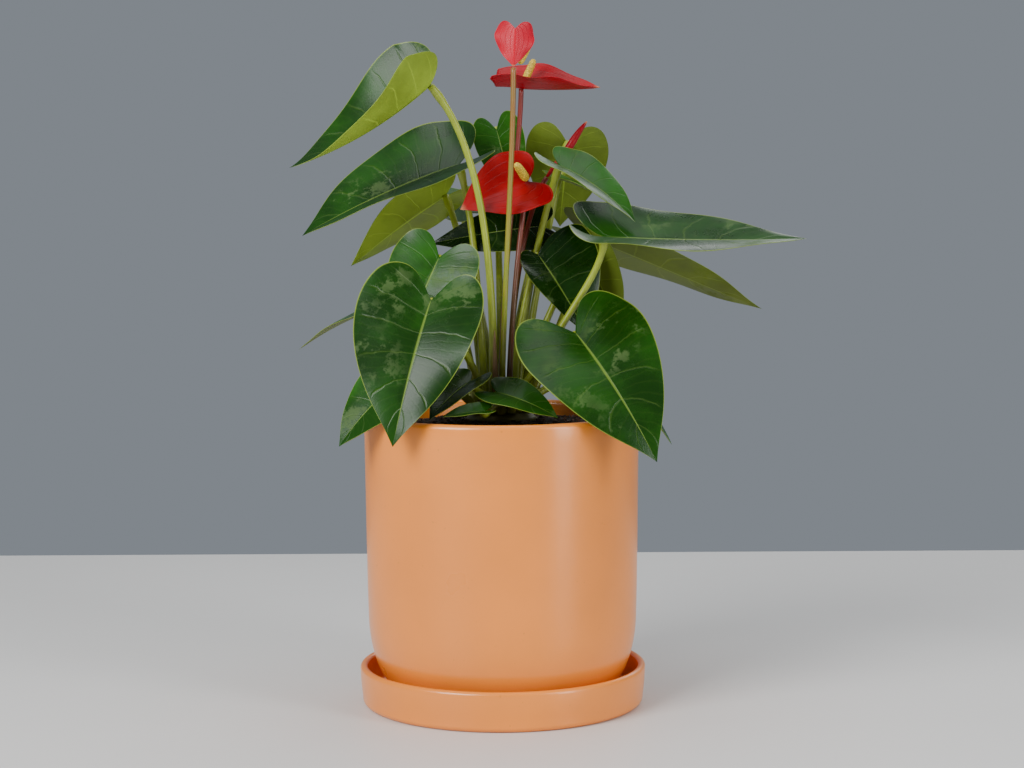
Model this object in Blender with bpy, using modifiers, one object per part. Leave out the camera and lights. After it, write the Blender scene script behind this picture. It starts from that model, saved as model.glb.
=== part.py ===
"""Anthurium in a round glazed pot with a saucer, standing on the ground plane at the origin.

Everything is in metres with +Z up. The pot, saucer, potting mix, crown and spadices are turned
profiles, each stalk is a bevelled curve, and each leaf or spathe is one heart-shaped sheet.
"""

import math

import bmesh
import bpy
import numpy as np
from mathutils import Vector

MM = 0.001
GAP = 0.3

POT_TOP = 149.3
POT_RIM_R = 70.0
POT_WAIST_R = 69.0
POT_WAIST_Z = 60.0
POT_BELLY_Z = 47.5
POT_FOOT_R = 49.0
POT_FOOT_Z = 5.5
POT_WALL = 5.0
POT_FLOOR = 6.0
POT_HOLE_R = 6.0

SAUCER_HEIGHT = 20.2
SAUCER_RIM_R = 73.2
SAUCER_BASE_R = 69.0
SAUCER_WALL = 4.0
SAUCER_FLOOR = POT_FOOT_Z - GAP
SAUCER_EDGE = 3.0

SOIL_EDGE_Z = 140.0
SOIL_TOP = 145.0
SOIL_TOP_R = 24.0
CROWN_R = 16.0
CROWN_TOP = 150.0

TURN_STEPS = 36
SPADIX_STEPS = 12
BLADE_ROWS = 8
BLADE_COLUMNS = 4
BLADE_THICK = 0.8
STALK_POINTS = 8
STALK_SIDES = 2
STALK_R = 1.8
PEDUNCLE_R = 1.3
JOIN_GAP = 1.2
TILT_CLEARANCE = 1.3
STALK_SWELL = 0.12

# Right half of a heart-shaped blade of unit length: share of the way round, across, along.
OUTLINE = (
    (0.00, 0.000, 0.000),
    (0.07, 0.128, -0.150),
    (0.16, 0.272, -0.215),
    (0.26, 0.406, -0.165),
    (0.38, 0.494, 0.000),
    (0.50, 0.500, 0.190),
    (0.63, 0.428, 0.430),
    (0.77, 0.278, 0.680),
    (0.88, 0.139, 0.840),
    (0.95, 0.056, 0.930),
    (1.00, 0.000, 1.000),
)

# Blades. Each has the point where its stalk joins, its tip and the way its upper side faces,
# then width over length, droop along the midrib, trough angle at base and tip, curl of the
# margins and lift of the basal lobes, in degrees, and where its stalk starts and leans.
LEAVES = {
    "A": dict(join=(-34, -26, 313), tip=(-103, -33, 273), face=(-0.35, -0.30, 0.85), width=0.74,
              droop=-25, trough=(48, 12), curl=8, lift=25, root=(-4, -4), lean=(0.02, -0.30, 1)),
    "B": dict(join=(-21, 18, 275), tip=(-101, 6, 239), face=(-0.30, -0.42, 0.85), width=0.74,
              droop=12, trough=(16, 12), curl=-6, lift=20, skew=0.3, root=(-8, 0),
              lean=(-0.05, 0, 1)),
    "C": dict(join=(-29, 44, 259), tip=(-80, 55, 222), face=(-0.45, 0.55, 0.60), width=0.66,
              droop=10, trough=(12, 8), curl=-8, lift=10, root=(-9, 8), lean=(-0.08, 0.65, 1)),
    "D": dict(join=(-19, 74, 250), tip=(-46, 96, 263), face=(0.00, -0.50, 0.85), width=0.75,
              droop=15, trough=(12, 8), curl=-8, lift=10, root=(-4, 12), lean=(-0.05, 0.35, 1)),
    "E": dict(join=(21, 28, 243), tip=(-37, 26, 234), face=(0.00, -1.00, 0.40), width=0.46,
              droop=18, trough=(12, 8), curl=-8, lift=12, lobes=0.6, reach=0.1, root=(4, 7),
              lean=(0.05, 0.05, 1)),
    "F": dict(join=(36, 70, 287), tip=(32, 82, 242), face=(0.10, 0.80, 0.30), width=0.95,
              droop=12, trough=(10, 8), curl=-8, lift=10, root=(10, 12), lean=(0.10, 1.10, 1)),
    "G": dict(join=(30, 4, 274), tip=(68, -12, 245), face=(0.45, -0.40, 0.80), width=0.80,
              droop=25, trough=(18, 12), curl=-8, lift=15, root=(8, 3), lean=(0.05, 0.16, 1)),
    "H": dict(join=(29, 41, 268), tip=(61, 45, 254), face=(0.10, -0.12, 0.90), width=0.50,
              droop=15, trough=(12, 8), curl=-8, lift=10, root=(4, 12), lean=(0.05, 0.60, 1)),
    "I": dict(join=(52, -16, 238), tip=(152, -26, 237), face=(0.00, -0.30, 1.00), width=0.68,
              droop=-6, trough=(14, 6), curl=-4, lift=40, root=(12, -5), lean=(0.25, -0.12, 1)),
    "J": dict(join=(48, 46, 236), tip=(139, 54, 198), face=(0.30, 0.40, 0.80), width=0.50,
              droop=0, trough=(10, 6), curl=-4, lift=10, root=(13.5, 7.5), lean=(0.4, 0.4, 1)),
    "K": dict(join=(42, 18, 230), tip=(62, 22, 190), face=(0.35, 0.75, 0.50), width=0.70,
              droop=15, trough=(10, 8), curl=-8, lift=10, reach=0.08, root=(9, 7),
              lean=(0.2, 0.05, 1)),
    "M": dict(join=(19, 5, 229), tip=(44, 2, 188), face=(0.25, -0.85, 0.30), width=0.85,
              droop=15, trough=(16, 10), curl=-8, lift=12, skew=-0.40, lobes=0.5, reach=0.05,
              root=(6, -2), lean=(0, 0.1, 1)),
    "N1": dict(join=(-34, -38, 208), tip=(-52, -66, 139), face=(-0.10, -0.90, 0.35), width=0.80,
               droop=28, trough=(10, 6), curl=-10, lift=12, skew=0.12, root=(-8, -9),
               lean=(-0.1, -0.1, 1)),
    "N2": dict(join=(37, -28, 191), tip=(75, -66, 131), face=(0.08, -0.85, 0.50), width=0.80,
               droop=32, trough=(10, 6), curl=-10, lift=12, root=(8, -8), lean=(0, -0.25, 1)),
    "O": dict(join=(-31, -2, 228), tip=(-50, -14, 182), face=(-0.10, -0.85, 0.50), width=0.90,
              droop=15, trough=(12, 8), curl=-10, lift=12, root=(-12, -3), lean=(-0.1, 0.1, 1)),
    "P": dict(join=(-50, -26, 168), tip=(-80, -38, 136), face=(-0.30, -0.70, 0.70), width=0.80,
              droop=25, trough=(10, 8), curl=-8, lift=10, root=(-13, -8), lean=(-0.4, -0.1, 1)),
    "Q": dict(join=(-58, 45, 202), tip=(-109, 60, 177), face=(-0.20, -0.10, 1.00), width=0.65,
              droop=20, trough=(12, 8), curl=-8, lift=10, root=(-13, 4), lean=(-0.3, 0.2, 1)),
    "R": dict(join=(57, 30, 164), tip=(90, 38, 127), face=(0.50, -0.20, 0.80), width=0.70,
              droop=20, trough=(12, 8), curl=-8, lift=10, root=(13, 1), lean=(0.5, 0.2, 1)),
    "S1": dict(join=(-15, -26, 167), tip=(-35, -50, 150), face=(-0.20, -0.40, 0.90), width=0.70,
               droop=20, trough=(18, 10), curl=-6, lift=10, root=(-4, -13), lean=(-0.2, -0.1, 1)),
    "S2": dict(join=(-8, -46, 154), tip=(-29, -54, 152), face=(0.00, -0.50, 0.90), width=0.50,
               droop=10, trough=(24, 16), curl=0, lift=10, root=(0, -14), lean=(0, -0.5, 1)),
    "S3": dict(join=(-2, -34, 162), tip=(28, -52, 151), face=(0.10, -0.50, 0.80), width=0.70,
               droop=20, trough=(14, 8), curl=-6, lift=10, root=(5, -13), lean=(0, -0.2, 1)),
    "T": dict(join=(-2, 60, 294), tip=(8, 64, 256), face=(-0.10, -0.80, 0.50), width=0.68,
              droop=12, trough=(10, 8), curl=-8, lift=10, root=(0, 12), lean=(0, 0.45, 1)),
}

# Spathes, in the same terms; each stands on its own flower stalk and carries a spadix, which
# starts at "spadix" and points along "points".
SPATHES = {
    "1": dict(join=(8, -20, 341), tip=(7, -22, 322), face=(0.00, 0.95, 0.10), width=1.15,
              droop=-20, trough=(24, 20), curl=10, lift=-10, root=(0, -5),
              lean=(0.03, -0.22, 1), spadix=(10, -17, 324), points=(0.45, 0.45, 0.80),
              spadix_size=(11, 1.7)),
    "2": dict(join=(11, 8, 313), tip=(51, 2, 313), face=(0.00, -0.25, 0.95), width=0.85,
              droop=-8, trough=(36, 30), curl=0, lift=-8, lobes=2.0, root=(0, 3), lean=(0, 0, 1),
              spadix=(12, 8, 315), points=(0.40, 0.05, 0.90), spadix_size=(14, 2.0)),
    "3": dict(join=(14, 0, 266), tip=(-20, -10, 252), face=(-0.10, -0.85, 0.50), width=1.00,
              droop=20, trough=(14, 10), curl=-6, lift=14, reach=0.03, root=(4, -6),
              lean=(0, -0.16, 1), spadix=(13.5, -2, 267), points=(-0.35, -0.75, 0.50),
              spadix_size=(15, 2.3)),
}

# Rolled shapes, each from its foot to its tip: a closed flower bud and a papery bud sheath.
BUD_FOOT = (24, 24, 268)
BUD_TIP = (45, 25, 297)
BUD_R = 2.0
BUD_ROOT = (4, 3)
SHEATH_FOOT = (-3, -9)
SHEATH_TIP = (-3, -17, 192)
SHEATH_R = 1.4

LEAF_GREEN = (0.020, 0.110, 0.008)
STALK_GREEN = (0.300, 0.360, 0.020)
SPATHE_RED = (0.550, 0.004, 0.012)
SPADIX_YELLOW = (0.900, 0.650, 0.050)
POT_ORANGE = (0.720, 0.300, 0.110)
SOIL_BROWN = (0.030, 0.015, 0.008)


def clear_scene():
    for obj in list(bpy.data.objects):
        bpy.data.objects.remove(obj, do_unlink=True)


def new_collection(name):
    collection = bpy.data.collections.new(name)
    bpy.context.scene.collection.children.link(collection)
    return collection


def principled(name, colour, roughness):
    material = bpy.data.materials.new(name)
    material.use_nodes = True
    shader = material.node_tree.nodes["Principled BSDF"]
    shader.inputs["Base Color"].default_value = (*colour, 1.0)
    shader.inputs["Roughness"].default_value = roughness
    shader.inputs["Metallic"].default_value = 0.0
    return material


def add_object(name, data, collection, colour, roughness):
    obj = bpy.data.objects.new(name, data)
    collection.objects.link(obj)
    data.materials.append(principled(name, colour, roughness))
    return obj


def arc(centre_r, centre_z, reach_r, reach_z, start, end, count):
    """Points of an elliptical arc in the profile plane, angles in degrees from +R towards +Z."""
    angles = [math.radians(start + (end - start) * i / (count - 1)) for i in range(count)]
    return [(centre_r + reach_r * math.cos(a), centre_z + reach_z * math.sin(a)) for a in angles]


def turned(name, profile, closed, collection, colour, roughness, steps=TURN_STEPS):
    """Screws an (r, z) profile in millimetres about the Z axis."""
    mesh = bpy.data.meshes.new(name)
    points = [(r * MM, 0.0, z * MM) for r, z in profile]
    edges = [(i, i + 1) for i in range(len(points) - 1)]
    if closed:
        edges.append((len(points) - 1, 0))
    mesh.from_pydata(points, edges, [])
    obj = add_object(name, mesh, collection, colour, roughness)
    screw = obj.modifiers.new("turn", "SCREW")
    screw.axis = "Z"
    screw.steps = steps
    screw.render_steps = steps
    screw.use_merge_vertices = True
    screw.merge_threshold = 0.0001
    screw.use_normal_calculate = False
    return obj


def add_pot(collection):
    """Pot wall with a rounded lip, an elliptical turn into the foot and a drainage hole."""
    lip = POT_WALL / 2
    belly_reach = POT_WAIST_R - 0.3 - POT_FOOT_R
    outside = arc(POT_RIM_R - lip, POT_TOP - lip, lip, lip, 90, 0, 3)
    outside.append((POT_WAIST_R, POT_WAIST_Z))
    outside += arc(POT_FOOT_R, POT_BELLY_Z, belly_reach, POT_BELLY_Z - POT_FOOT_Z, 0, -90, 7)
    bottom = [(POT_HOLE_R, POT_FOOT_Z), (POT_HOLE_R, POT_FOOT_Z + POT_FLOOR)]
    floor_z = POT_FOOT_Z + POT_FLOOR
    inside = arc(POT_FOOT_R, POT_BELLY_Z, belly_reach - POT_WALL, POT_BELLY_Z - floor_z, -90, 0, 6)
    inside.append((POT_WAIST_R - POT_WALL, POT_WAIST_Z))
    inside += arc(POT_RIM_R - lip, POT_TOP - lip, lip, lip, 180, 135, 2)
    return turned("pot", outside + bottom + inside, True, collection, POT_ORANGE, 0.3)


def add_saucer(collection):
    """Low dish with a rounded lower edge and a rounded lip."""
    lip = SAUCER_WALL / 2
    outside = arc(SAUCER_RIM_R - lip, SAUCER_HEIGHT - lip, lip, lip, 90, 0, 3)
    outside += arc(SAUCER_BASE_R, SAUCER_EDGE, SAUCER_EDGE, SAUCER_EDGE, 0, -90, 3)
    bottom = [(0.0, 0.0), (0.0, SAUCER_FLOOR)]
    inner_r = SAUCER_BASE_R - SAUCER_WALL + SAUCER_EDGE
    inside = [(inner_r - 2.0, SAUCER_FLOOR), (inner_r, SAUCER_FLOOR + 2.0)]
    inside += arc(SAUCER_RIM_R - lip, SAUCER_HEIGHT - lip, lip, lip, 180, 135, 2)
    return turned("saucer", outside + bottom + inside, True, collection, POT_ORANGE, 0.3)


def add_soil(collection):
    """Potting mix, filling the pot to just inside its wall."""
    floor_z = POT_FOOT_Z + POT_FLOOR + GAP
    belly_reach = POT_WAIST_R - 0.3 - POT_FOOT_R - POT_WALL - 2 * GAP
    wall_r = POT_WAIST_R - POT_WALL - 2 * GAP
    profile = [(0.0, SOIL_TOP), (SOIL_TOP_R, SOIL_TOP)]
    profile += [(wall_r - 2.0, SOIL_EDGE_Z), (wall_r, SOIL_EDGE_Z - 1.5)]
    profile.append((wall_r, POT_WAIST_Z))
    profile += arc(POT_FOOT_R - GAP, POT_BELLY_Z, belly_reach, POT_BELLY_Z - floor_z, 0, -90, 5)
    profile.append((0.0, floor_z))
    return turned("potting_mix", profile, False, collection, SOIL_BROWN, 0.9)


def add_crown(collection):
    """Low mound of old leaf bases from which every stalk starts."""
    base_z = SOIL_TOP + GAP
    profile = [(0.0, CROWN_TOP), (CROWN_R, CROWN_TOP), (CROWN_R + 1.5, CROWN_TOP - 2.0)]
    profile += [(CROWN_R + 3.0, base_z), (0.0, base_z)]
    return turned("crown", profile, False, collection, SOIL_BROWN, 0.8, 24)


def unit(vector):
    return vector / np.linalg.norm(vector)


def smooth_through(x, knots, values):
    """Natural cubic spline through the knots."""
    count = len(knots)
    step = np.diff(knots)
    system = np.eye(count)
    right = np.zeros(count)
    for i in range(1, count - 1):
        system[i, i - 1:i + 2] = step[i - 1], 2 * (step[i - 1] + step[i]), step[i]
        slope_after = (values[i + 1] - values[i]) / step[i]
        slope_before = (values[i] - values[i - 1]) / step[i - 1]
        right[i] = 3 * (slope_after - slope_before)
    bend = np.linalg.solve(system, right)
    i = np.clip(np.searchsorted(knots, x) - 1, 0, count - 2)
    cubic = (bend[i + 1] - bend[i]) / (3 * step[i])
    linear = (values[i + 1] - values[i]) / step[i] - step[i] * (2 * bend[i] + bend[i + 1]) / 3
    t = x - np.asarray(knots)[i]
    return np.asarray(values)[i] + linear * t + bend[i] * t**2 + cubic * t**3


def midrib(droop, lift):
    """Samples of the bent midrib: distance along, slope, forward and up, for unit length."""
    along = np.linspace(-0.3, 1.0, 131)
    slope = np.where(along >= 0, -droop * along, lift * along / 0.2)
    middle = (slope[1:] + slope[:-1]) / 2
    step = along[1] - along[0]
    forward = np.concatenate([[0.0], np.cumsum(np.cos(middle)) * step])
    up = np.concatenate([[0.0], np.cumsum(np.sin(middle)) * step])
    return along, slope, forward - np.interp(0, along, forward), up - np.interp(0, along, up)


def blade_frame(spec):
    """Length of the blade and its axes across, along the chord and up, with the chord's tilt."""
    join = np.array(spec["join"], float)
    chord = np.array(spec["tip"], float) - join
    along, _, forward, up = midrib(math.radians(spec["droop"]), math.radians(spec["lift"]))
    reach = math.hypot(np.interp(1, along, forward), np.interp(1, along, up))
    tilt = math.atan2(np.interp(1, along, up), np.interp(1, along, forward))
    y_axis = unit(chord)
    face = np.array(spec["face"], float)
    z_axis = unit(face - face.dot(y_axis) * y_axis)
    return np.linalg.norm(chord) / reach, np.cross(y_axis, z_axis), y_axis, z_axis, tilt


def blade_points(spec, s, t):
    """Points of a blade: s runs round the outline from stalk to tip, t from margin to margin."""
    knots, across, ahead = (np.array(column) for column in zip(*OUTLINE))
    margin_x = smooth_through(s, knots, across) * spec["width"]
    margin_y = smooth_through(s, knots, ahead)
    margin_x = margin_x * (1 + spec.get("skew", 0.0) * np.sign(t))
    margin_y = np.where(margin_y < 0, margin_y * spec.get("lobes", 1.0), margin_y)
    rib_y = s**1.5
    x = t * margin_x
    y = rib_y + (margin_y - rib_y) * np.abs(t)
    along, slope, forward, up = midrib(math.radians(spec["droop"]), math.radians(spec["lift"]))
    angle = np.interp(y, along, slope)
    base, tip = (math.radians(a) for a in spec["trough"])
    fold = base + (tip - base) * np.clip(y, 0, 1)
    bow = math.radians(spec["curl"] or 0.1) / 0.45
    side = np.abs(x)
    out = (np.sin(fold + bow * side) - np.sin(fold)) / bow * np.sign(x)
    rise = (np.cos(fold) - np.cos(fold + bow * side)) / bow
    ahead_y = np.interp(y, along, forward) - rise * np.sin(angle)
    above = np.interp(y, along, up) + rise * np.cos(angle)
    length, x_axis, y_axis, z_axis, tilt = blade_frame(spec)
    level_y = ahead_y * math.cos(tilt) + above * math.sin(tilt)
    level_z = above * math.cos(tilt) - ahead_y * math.sin(tilt)
    shape = out[..., None] * x_axis + level_y[..., None] * y_axis + level_z[..., None] * z_axis
    return np.array(spec["join"], float) + length * shape


def joint_normal(spec):
    """Which way the upper side faces where the stalk joins."""
    _, _, y_axis, z_axis, tilt = blade_frame(spec)
    return z_axis * math.cos(tilt) + y_axis * math.sin(tilt)


def add_blade(name, spec, collection, colour, roughness):
    """Heart-shaped sheet: a flat grid carried onto the bent outline, then thickened."""
    shape = bmesh.new()
    bmesh.ops.create_grid(shape, x_segments=BLADE_COLUMNS, y_segments=BLADE_ROWS, size=0.5)
    flat = np.array([vert.co for vert in shape.verts])
    places = blade_points(spec, np.clip(flat[:, 1] + 0.5, 0, 1), np.clip(2 * flat[:, 0], -1, 1))
    for vert, place in zip(shape.verts, places):
        vert.co = Vector(place) * MM
    bmesh.ops.remove_doubles(shape, verts=shape.verts, dist=1e-6)
    mesh = bpy.data.meshes.new(name)
    shape.to_mesh(mesh)
    shape.free()
    obj = add_object(name, mesh, collection, colour, roughness)
    thicken = obj.modifiers.new("thickness", "SOLIDIFY")
    thicken.thickness = BLADE_THICK * MM
    thicken.offset = 0.0
    return obj


def stalk_route(start, end, lean, arrive, rise, reach):
    """Points of a cubic curve that leaves along lean and arrives along arrive."""
    span = np.linalg.norm(end - start)
    controls = (start, start + unit(lean) * span * rise, end - arrive * span * reach, end)
    t = np.linspace(0, 1, STALK_POINTS)[:, None]
    weights = ((1 - t)**3, 3 * (1 - t)**2 * t, 3 * (1 - t) * t**2, t**3)
    return sum(weight * control for weight, control in zip(weights, controls))


def add_stalk(name, route, radius, collection, colour):
    """Round stalk along the route, swelling a little at both ends."""
    data = bpy.data.curves.new(name, "CURVE")
    data.dimensions = "3D"
    data.bevel_depth = radius * MM
    data.bevel_resolution = STALK_SIDES
    data.use_fill_caps = True
    spline = data.splines.new("POLY")
    spline.points.add(len(route) - 1)
    for i, place in enumerate(route):
        share = i / (len(route) - 1)
        spline.points[i].co = (*(Vector(place) * MM), 1.0)
        spline.points[i].radius = 1.0 + STALK_SWELL * (1 - share)**3
    return add_object(name, data, collection, colour, 0.4)


def stalk_start(root, lean, radius):
    """Centre of a stalk's lower end, raised so that its tilted rim clears the crown."""
    tilt = math.sqrt(1 - unit(np.array(lean, float))[2]**2)
    lift = radius * (1 + STALK_SWELL) * tilt * TILT_CLEARANCE
    return np.array((*root, CROWN_TOP + GAP + lift), float)


def add_leaf(letter, spec, collection):
    add_blade(f"leaf_{letter}", spec, collection, LEAF_GREEN, 0.3)
    arrive = joint_normal(spec)
    end = np.array(spec["join"], float) - arrive * (BLADE_THICK / 2 + JOIN_GAP)
    start = stalk_start(spec["root"], spec["lean"], STALK_R)
    route = stalk_route(start, end, np.array(spec["lean"], float), arrive, 0.45, spec.get("reach", 0.25))
    add_stalk(f"stalk_{letter}", route, STALK_R, collection, STALK_GREEN)


def spindle(name, foot, tip, radius, foot_share, widest, collection, colour):
    """Turned spindle from foot to tip: foot_share of the radius at the foot, widest part way up."""
    foot, tip = np.array(foot, float), np.array(tip, float)
    length = np.linalg.norm(tip - foot)
    profile = [(0.0, length)]
    profile += arc(0, length * widest, radius, length * (1 - widest), 75, 0, 5)
    profile += [(radius * foot_share, 0.0), (0.0, 0.0)]
    obj = turned(name, profile, False, collection, colour, 0.35, SPADIX_STEPS)
    obj.location = Vector(foot) * MM
    obj.rotation_euler = Vector(tip - foot).to_track_quat("Z", "Y").to_euler()


def add_flower(number, spec, collection):
    """Spathe, spadix and the stalk below them; flower 1 is held by the point of its spathe."""
    add_blade(f"spathe_{number}", spec, collection, SPATHE_RED, 0.25)
    foot = np.array(spec["spadix"], float)
    length, radius = spec["spadix_size"]
    tip = foot + unit(np.array(spec["points"], float)) * length
    spindle(f"spadix_{number}", foot, tip, radius, 0.5, 0.25, collection, SPADIX_YELLOW)
    if number == "1":
        arrive = np.array((0.0, 0.0, 1.0))
        end = np.array(spec["tip"], float) - arrive * JOIN_GAP
    else:
        arrive = joint_normal(spec)
        end = np.array(spec["join"], float) - arrive * (BLADE_THICK / 2 + JOIN_GAP)
    start = stalk_start(spec["root"], spec["lean"], PEDUNCLE_R)
    route = stalk_route(start, end, np.array(spec["lean"], float), arrive, 0.45, spec.get("reach", 0.25))
    add_stalk(f"flower_stalk_{number}", route, PEDUNCLE_R, collection, STALK_GREEN)


def add_bud(collection):
    """Closed flower, still rolled into a point, on its own stalk."""
    foot, tip = np.array(BUD_FOOT, float), np.array(BUD_TIP, float)
    spindle("bud", foot, tip, BUD_R, 0.5, 0.6, collection, SPATHE_RED)
    arrive = unit(tip - foot)
    upright = np.array((0.0, 0.0, 1.0))
    start = stalk_start(BUD_ROOT, upright, PEDUNCLE_R)
    route = stalk_route(start, foot - arrive * GAP, upright, arrive, 0.45, 0.15)
    add_stalk("bud_stalk", route, PEDUNCLE_R, collection, STALK_GREEN)


def main():
    clear_scene()
    collection = new_collection("potted_anthurium")
    add_saucer(collection)
    add_pot(collection)
    add_soil(collection)
    add_crown(collection)
    for letter, spec in LEAVES.items():
        add_leaf(letter, spec, collection)
    for number, spec in SPATHES.items():
        add_flower(number, spec, collection)
    add_bud(collection)
    foot = (*SHEATH_FOOT, CROWN_TOP + 2 * GAP)
    spindle("sheath", foot, SHEATH_TIP, SHEATH_R, 0.9, 0.2, collection, STALK_GREEN)


if __name__ == "__main__":
    main()
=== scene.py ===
"""Potted anthurium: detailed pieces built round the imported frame, laid out as an add-on."""

import math

import bpy
import numpy as np
from mathutils import Matrix, Vector


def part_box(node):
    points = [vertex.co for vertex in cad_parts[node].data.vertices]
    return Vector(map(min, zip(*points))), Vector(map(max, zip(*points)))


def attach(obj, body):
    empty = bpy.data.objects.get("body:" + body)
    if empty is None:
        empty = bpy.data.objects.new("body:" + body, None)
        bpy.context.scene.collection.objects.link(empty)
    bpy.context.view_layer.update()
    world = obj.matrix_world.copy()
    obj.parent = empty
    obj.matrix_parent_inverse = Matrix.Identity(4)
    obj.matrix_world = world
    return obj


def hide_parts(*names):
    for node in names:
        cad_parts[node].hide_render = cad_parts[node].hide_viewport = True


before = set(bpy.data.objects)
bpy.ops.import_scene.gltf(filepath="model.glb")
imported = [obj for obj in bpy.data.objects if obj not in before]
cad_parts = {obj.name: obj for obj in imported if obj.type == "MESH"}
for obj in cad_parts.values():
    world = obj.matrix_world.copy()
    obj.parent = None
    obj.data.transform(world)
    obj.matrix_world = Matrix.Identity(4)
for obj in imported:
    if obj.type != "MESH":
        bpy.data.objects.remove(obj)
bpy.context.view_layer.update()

bl_info = {
    "name": "Potted anthurium",
    "version": (1, 0, 0),
    "blender": (4, 5, 0),
    "location": "View3D > Sidebar > Anthurium",
    "description": "Builds an anthurium in a glazed pot on a saucer",
    "category": "Add Mesh",
}

MM = 0.001
BLADE_ROWS = 84
BLADE_COLUMNS = 22
STALK_ROWS = 56
STALK_SIDES = 16
TURN_SIDES = 128
JOIN_GAP = 0.25
STALK_R = 1.8
FLOWER_STALK_R = 1.3

POT_TOP, POT_RIM_R, POT_WALL = 149.3, 70.0, 5.0
POT_SHOULDER_R, POT_SHOULDER_Z = 69.85, 140.0
POT_WAIST_R, POT_WAIST_Z = 69.0, 60.0
POT_BELLY_R, POT_BELLY_Z = 68.7, 47.5
POT_FOOT_R, POT_FOOT_Z, POT_FLOOR_Z, POT_HOLE_R = 49.0, 5.5, 11.5, 6.0
SAUCER_HEIGHT, SAUCER_RIM_R, SAUCER_BASE_R = 20.2, 73.2, 69.0
SAUCER_WALL, SAUCER_FLOOR, SAUCER_EDGE = 4.0, 5.2, 3.0
SAUCER_WELL_R, SAUCER_COVE_AT, SAUCER_COVE_R, SAUCER_FOOT_R = 61.0, 65.0, 3.0, 60.0
SAUCER_FLARE = ((72.9, 12.0), (72.4, 7.0))
SOIL_EDGE_Z, SOIL_TOP, SOIL_TOP_R, SOIL_R = 140.0, 145.0, 24.0, 63.8
SOIL_FOOT_R, SOIL_BELLY, SOIL_FLOOR_Z = 48.7, 14.4, 12.0
LUMP_HEIGHT = 0.55
CRUMB_COUNT, CRUMB_REACH, CRUMB_SIZE = 520, 60.5, (2.2, 1.3, 0.8)
CROWN_TOP = 150.3
MOST_DRIFT = 9.0

TABLE_SIDE, TABLE_BACK = 4.0, 0.457
CAMERA_PLACE = (0.0055, -1.0917, 0.2584)
CAMERA_PITCH, CAMERA_ROLL, CAMERA_LENS = 85.02, -0.31, 75.6

# Right half of a heart-shaped blade of unit length: share of the way round, across, along.
OUTLINE = (
    (0.00, 0.000, 0.000),
    (0.07, 0.128, -0.150),
    (0.16, 0.272, -0.215),
    (0.26, 0.406, -0.165),
    (0.38, 0.494, 0.000),
    (0.50, 0.500, 0.190),
    (0.63, 0.428, 0.430),
    (0.77, 0.278, 0.680),
    (0.88, 0.139, 0.840),
    (0.95, 0.056, 0.930),
    (1.00, 0.000, 1.000),
)

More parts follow.
